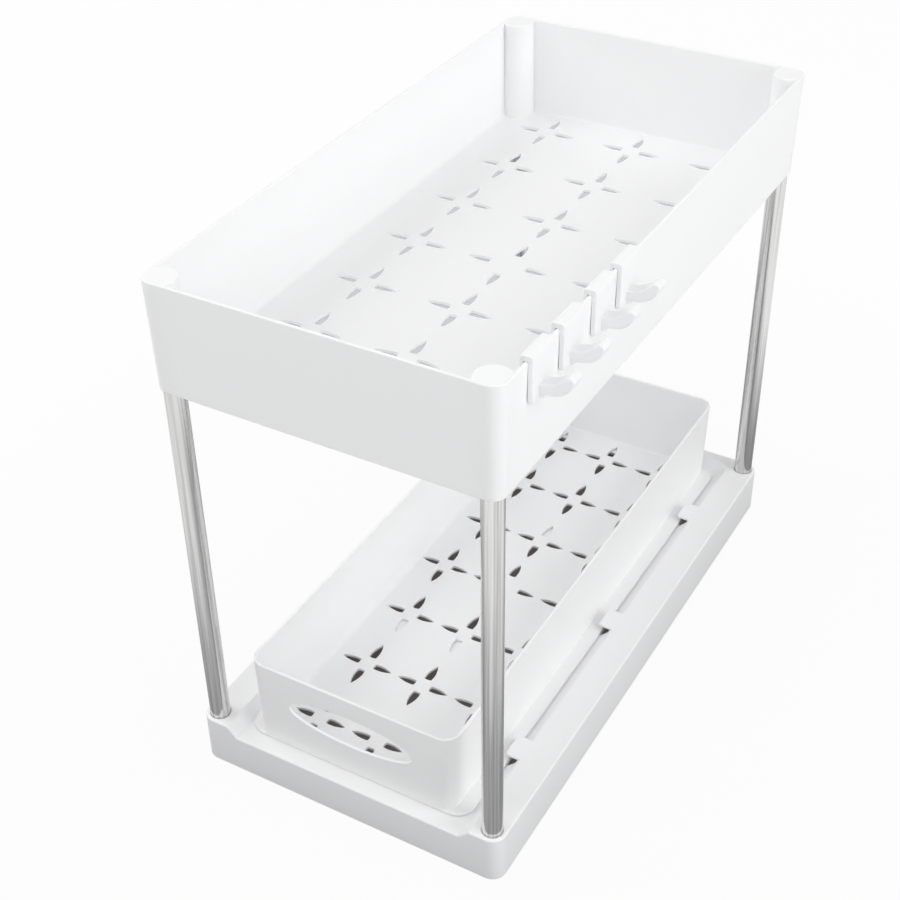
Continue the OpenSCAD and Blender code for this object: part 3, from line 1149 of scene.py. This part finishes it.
    def beyond_tip(self, x: float, z: float) -> bpy.types.Object:
        """A block that lies past the finger's end, with a round hollow for the tip.

        Args:
            x: The x of the middle of the finger's inner arc.
            z: The z of the middle of the finger's inner arc.

        Returns:
            The cutting block.
        """
        turn = self.finger_turn - math.asin(self.finger_tip / (self.finger_inner_radius + self.finger_tip))
        reach = self.finger_inner_radius + self.finger_tip
        tip_x, tip_z = x + reach * math.sin(turn), z - reach * math.cos(turn)
        size = 2 * self.finger
        block = self.block((size, 2 * self.finger_width, size), (0, 0, size / 2))
        block.rotation_euler = (0, math.pi / 2 - turn, 0)
        block.location = (tip_x, self.middle, tip_z)
        place_in_mesh(block)
        work(block, self.disc(tip_x, tip_z, self.finger_tip, 3 * self.finger_width, 24), Cut.TAKE_AWAY)
        return block

    def curl(self) -> bpy.types.Object:
        """The finger: a disc hollowed by a wider one, cut off at its root and round at its tip."""
        lowest = self.rim - self.plate_drop + self.finger_rise
        out_x, out_z = self.face + self.finger_reach, lowest + self.finger_radius
        in_x, in_z = out_x - self.finger_taper, lowest + self.finger + self.finger_inner_radius
        root = self.face - self.leg / 2
        curl = self.disc(out_x, out_z, self.finger_radius, self.finger_width)
        hollow = self.disc(in_x, in_z, self.finger_inner_radius, 2 * self.finger_width)
        work(curl, hollow, Cut.TAKE_AWAY)
        end = (math.cos(self.finger_turn), 0, math.sin(self.finger_turn))
        for point, away in (((in_x, 0, in_z), end), ((root, 0, 0), (-1, 0, 0))):
            edit(curl)
            bpy.ops.mesh.select_all(action="SELECT")
            bpy.ops.mesh.bisect(plane_co=point, plane_no=away, use_fill=True, clear_outer=True)
        work(curl, self.beyond_tip(in_x, in_z), Cut.TAKE_AWAY)
        edit(curl)
        bpy.ops.mesh.select_all(action="SELECT")
        bpy.ops.mesh.remove_doubles(threshold=0.4 * MM)
        edit(curl, "EDGE")
        select_edges(
            curl,
            lambda e: e.is_manifold
            and e.calc_face_angle() > 0.8
            and max(v.co.x for v in e.verts) > root + NEAR,
        )
        bevel_edges(self.finger_soft, ROUND_STEPS)
        deselect_all()
        return curl


# The studio


@dataclass(frozen=True)
class Viewpoint:
    """The photograph's camera."""

    place: tuple[float, float, float] = (0.3873, -0.7337, 0.7540)
    aim: tuple[float, float, float] = (-0.01168, -0.05328, 0.176)
    roll: float = math.radians(-1.048)
    lens: float = 62.59
    sensor: float = 36.0

    def build(self) -> None:
        """Make the camera and use it."""
        data = bpy.data.cameras.new("camera")
        data.lens = self.lens
        data.sensor_width = self.sensor
        data.clip_start = 0.01
        camera = bpy.data.objects.new("camera", data)
        bpy.context.scene.collection.objects.link(camera)
        look = (Vector(self.aim) - Vector(self.place)).to_track_quat("-Z", "Y").to_matrix().to_4x4()
        camera.matrix_world = Matrix.Translation(self.place) @ look @ Matrix.Rotation(self.roll, 4, "Z")
        bpy.context.scene.camera = camera


@dataclass(frozen=True)
class Lamp:
    """A square area lamp that faces the organizer."""

    name: str
    place: tuple[float, float, float]
    power: float
    size: float = 2.2
    aim: tuple[float, float, float] = (0, 0, 0.18)

    def build(self) -> None:
        """Make the lamp."""
        light = bpy.data.lights.new(self.name, "AREA")
        light.shape = "SQUARE"
        light.size = self.size
        light.energy = self.power
        lamp = bpy.data.objects.new(self.name, light)
        bpy.context.scene.collection.objects.link(lamp)
        lamp.location = self.place
        lamp.rotation_euler = (Vector(self.aim) - Vector(self.place)).to_track_quat("-Z", "Y").to_euler()


@dataclass(frozen=True)
class Studio:
    """A white floor, a white surround and soft lamps."""

    ambient: float = 0.43
    floor_size: float = 12.0
    # Painted shade: over this fade the floor's colour darkens towards the base, for the organizer's shadow.
    painted_shade_fade: tuple[float, float] = (0.0, 400 * MM)
    # Within this fade of the base, reflections see the floor's painted shade, not its white glow.
    mirror_fade: tuple[float, float] = (90 * MM, 240 * MM)
    shade_fade: tuple[float, float] = (-6 * MM, -2 * MM)
    # Painted shade: the floor's darker colour next to the base, seen in bounce light and in the tubes.
    floor_painted_shade: tuple[float, float, float] = (0.4, 0.403, 0.41)
    floor_far: tuple[float, float, float] = (0.85, 0.855, 0.86)
    floor_glow: float = 0.95
    # Painted light: a faint glow, seen only by camera rays, that keeps the floor in full shade a dark grey.
    floor_painted_glow: tuple[float, float, float] = (0.055, 0.047, 0.044)
    # Painted shade: the grey tint of the camera-only sheet in the tray's slots.
    slot_shade_tint: tuple[float, float, float] = (0.625, 0.635, 0.655)
    film_inset: tuple[float, float] = (22 * MM, 10 * MM)
    film_rise: float = 0.4 * MM
    lamps: tuple[Lamp, ...] = (
        Lamp("right", (2.3, -0.2, 1.6), 37.0),
        Lamp("left", (-1.9, -0.4, 2.1), 34.0),
        Lamp("front", (0.2, -1.9, 1.7), 7.0, 1.6),
    )

    def build(self) -> None:
        """Make the floor, the world and the lamps."""
        self.floor()
        self.slot_shade_film()
        self.world()
        for lamp in self.lamps:
            lamp.build()

    def seen_by(
        self, nodes: bpy.types.Nodes, links: bpy.types.NodeLinks, rays: Sequence[str]
    ) -> bpy.types.NodeSocket:
        """A value of 1 for rays of these kinds, and 0 for the others."""
        path = nodes.new("ShaderNodeLightPath")
        total = path.outputs[rays[0]]
        for ray in rays[1:]:
            total = self.worked(nodes, links, "MAXIMUM", total, path.outputs[ray])
        return total

    def worked(
        self, nodes: bpy.types.Nodes, links: bpy.types.NodeLinks, operation: str,
        first: bpy.types.NodeSocket, second: bpy.types.NodeSocket,
    ) -> bpy.types.NodeSocket:
        """What this operation makes of two values."""
        node = nodes.new("ShaderNodeMath")
        node.operation = operation
        links.new(first, node.inputs[0])
        links.new(second, node.inputs[1])
        return node.outputs[0]

    def world(self) -> None:
        """A white surround that lights evenly."""
        world = bpy.data.worlds.new("surround")
        bpy.context.scene.world = world
        world.use_nodes = True
        nodes, links = world.node_tree.nodes, world.node_tree.links
        shader = nodes["Background"]
        shader.inputs["Color"].default_value = (1, 1, 1, 1)
        strength = nodes.new("ShaderNodeMapRange")
        strength.inputs["To Min"].default_value = self.ambient
        strength.inputs["To Max"].default_value = 1.0
        seen = self.seen_by(nodes, links, ("Is Camera Ray", "Is Glossy Ray", "Is Transmission Ray"))
        links.new(seen, strength.inputs["Value"])
        links.new(strength.outputs["Result"], shader.inputs["Strength"])

    def floor(self) -> None:
        """A white floor that keeps a soft shadow of the organizer.

        For the lamps' light and in the tubes its colour is darker near the base: painted shade
        for the organizer's shadow on the floor. In full shade, as under the drawer's slots, a faint painted
        glow keeps it a dark grey.
        """
        deselect_all()
        bpy.ops.mesh.primitive_plane_add(size=self.floor_size, location=(0, 0, 0))
        floor = bpy.context.active_object
        floor.name = "floor"
        made = bpy.data.materials.new("floor_white")
        made.use_nodes = True
        nodes, links = made.node_tree.nodes, made.node_tree.links
        shader = nodes["Principled BSDF"]
        shader.inputs["Roughness"].default_value = 0.9
        shader.inputs["Specular IOR Level"].default_value = 0.0
        glow = nodes.new("ShaderNodeEmission")
        glow.inputs["Color"].default_value = (1, 1, 1, 1)
        mix = nodes.new("ShaderNodeMixShader")
        low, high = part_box("base_frame")
        # Painted shade: the floor's colour is darker near the base.
        colour = self.blend(nodes, links, self.clear_of(nodes, links, low, high, self.painted_shade_fade))
        colour.inputs["A"].default_value = (*self.floor_painted_shade, 1)
        colour.inputs["B"].default_value = (*self.floor_far, 1)
        links.new(colour.outputs["Result"], shader.inputs["Base Color"])
        seen = self.seen_by(nodes, links, ("Is Camera Ray",))
        # Painted light: camera rays see a faint glow on the floor, so full shade stays dark grey.
        shader.inputs["Emission Color"].default_value = (*self.floor_painted_glow, 1)
        links.new(seen, shader.inputs["Emission Strength"])
        # Near the base, glossy rays see the floor's painted shade instead of the white glow.
        mirrored = self.seen_by(nodes, links, ("Is Glossy Ray", "Is Transmission Ray"))
        far = self.clear_of(nodes, links, low, high, self.mirror_fade)
        mirrored = self.worked(nodes, links, "MULTIPLY", mirrored, far)
        bare = self.clear_of(nodes, links, low, high, self.shade_fade, self.floor_glow)
        share = self.worked(nodes, links, "MAXIMUM", seen, mirrored)
        links.new(self.worked(nodes, links, "MULTIPLY", share, bare), mix.inputs["Fac"])
        links.new(shader.outputs[0], mix.inputs[1])
        links.new(glow.outputs[0], mix.inputs[2])
        links.new(mix.outputs[0], nodes["Material Output"].inputs["Surface"])
        floor.data.materials.append(made)

    def slot_shade_film(self) -> None:
        """A grey film in the tray's slots, which only the camera's rays meet: painted shade that darkens what
        shows through them.

        It stands for the grey backdrop that the photo's white cut-out left in them.
        """
        low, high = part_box("top_tray")
        middle, (in_x, in_y) = (low + high) / 2, self.film_inset
        deselect_all()
        bpy.ops.mesh.primitive_plane_add(size=1.0, location=(middle.x, middle.y, low.z + self.film_rise))
        film = bpy.context.active_object
        film.name = "slot_shade_film"
        film.scale = (high.x - low.x - 2 * in_x, high.y - low.y - 2 * in_y, 1)
        bpy.ops.object.transform_apply(location=True, rotation=True, scale=True)
        made = bpy.data.materials.new("slot_shade_grey")
        made.use_nodes = True
        nodes, links = made.node_tree.nodes, made.node_tree.links
        # Painted shade: a grey see-through tint, so what shows through the slots is darker.
        tint = nodes.new("ShaderNodeBsdfTransparent")
        tint.inputs["Color"].default_value = (*self.slot_shade_tint, 1)
        links.new(tint.outputs[0], nodes["Material Output"].inputs["Surface"])
        film.data.materials.append(made)
        film.visible_diffuse = False
        film.visible_glossy = False
        film.visible_transmission = False
        film.visible_shadow = False

    def blend(
        self, nodes: bpy.types.Nodes, links: bpy.types.NodeLinks, share: bpy.types.NodeSocket
    ) -> bpy.types.Node:
        """A node that blends from colour A to colour B by this share."""
        mix = nodes.new("ShaderNodeMix")
        mix.data_type = "RGBA"
        links.new(share, mix.inputs["Factor"])
        return mix

    def clear_of(
        self, nodes: bpy.types.Nodes, links: bpy.types.NodeLinks, low: Vector, high: Vector,
        fade: tuple[float, float], top: float = 1.0,
    ) -> bpy.types.NodeSocket:
        """A value that is 0 in a rectangle of the floor and rises outside it.

        Args:
            nodes: The floor's nodes.
            links: The floor's links.
            low: The rectangle's lowest x and y.
            high: The rectangle's highest x and y.
            fade: The distances out from the rectangle's edge where the value starts and stops rising.
            top: The value that it rises to.

        Returns:
            The value.
        """
        place = nodes.new("ShaderNodeTexCoord")
        split = nodes.new("ShaderNodeSeparateXYZ")
        links.new(place.outputs["Object"], split.inputs[0])
        outs = []
        for axis, start, end in (("X", low.x, high.x), ("Y", low.y, high.y)):
            centred = nodes.new("ShaderNodeMath")
            centred.operation = "SUBTRACT"
            links.new(split.outputs[axis], centred.inputs[0])
            centred.inputs[1].default_value = (start + end) / 2
            size = nodes.new("ShaderNodeMath")
            size.operation = "ABSOLUTE"
            links.new(centred.outputs[0], size.inputs[0])
            less = nodes.new("ShaderNodeMath")
            less.operation = "SUBTRACT"
            links.new(size.outputs[0], less.inputs[0])
            less.inputs[1].default_value = (end - start) / 2
            outs.append(less.outputs[0])
        most = nodes.new("ShaderNodeMath")
        most.operation = "MAXIMUM"
        links.new(outs[0], most.inputs[0])
        links.new(outs[1], most.inputs[1])
        ramp = nodes.new("ShaderNodeMapRange")
        ramp.inputs["From Min"].default_value, ramp.inputs["From Max"].default_value = fade
        ramp.inputs["To Max"].default_value = top
        links.new(most.outputs[0], ramp.inputs["Value"])
        return ramp.outputs["Result"]


@dataclass
class Organizer:
    """The whole organizer: every sub-assembly with its finish and body."""

    base: BaseFrame = field(default_factory=BaseFrame)
    tray: TopTray = field(default_factory=TopTray)
    drawer: Drawer = field(default_factory=Drawer)
    tubes: CornerTubes = field(default_factory=CornerTubes)
    hooks: RimHooks = field(default_factory=RimHooks)

    def build(self) -> None:
        """Build the sub-assemblies in order."""
        plastic = {
            name: MouldedPlastic(f"{name}_white", glow_share=share).material()
            for name, share in (("base", 0.0), ("tray", 0.2), ("drawer", 0.3), ("hook", 0.0))
        }
        steel = PolishedSteel("tube_steel").material()
        self.place(self.base.build(), "base_frame", Body.FRAME.value, "base_plastic", plastic["base"])
        self.place(self.tray.build(), "top_tray", Body.FRAME.value, "tray_plastic", plastic["tray"])
        self.place(self.drawer.build(), "drawer", Body.DRAWER.value, "drawer_plastic", plastic["drawer"])
        for node, tube in self.tubes.build():
            self.place(tube, node, Body.FRAME.value, "tube_metal", steel)
        for node, hook in self.hooks.build():
            self.place(hook, node, node, "hook_plastic", plastic["hook"])

    def place(
        self, piece: bpy.types.Object, node: str, body: str, slot: str, finish: bpy.types.Material
    ) -> None:
        """Dress a piece and put it on its body in the place of its node."""
        dress(piece, finish)
        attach(piece, body)
        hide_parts(node)
        LOG.info("%s stands for %s: %d faces", piece.name, node, len(piece.data.polygons))


def main() -> None:
    """Build the camera, the studio and the organizer."""
    logging.basicConfig(level=logging.INFO, format="%(name)s: %(message)s")
    bpy.context.scene.view_settings.view_transform = "Standard"
    Viewpoint().build()
    Studio().build()
    Organizer().build()


if __name__ == "__main__":
    main()
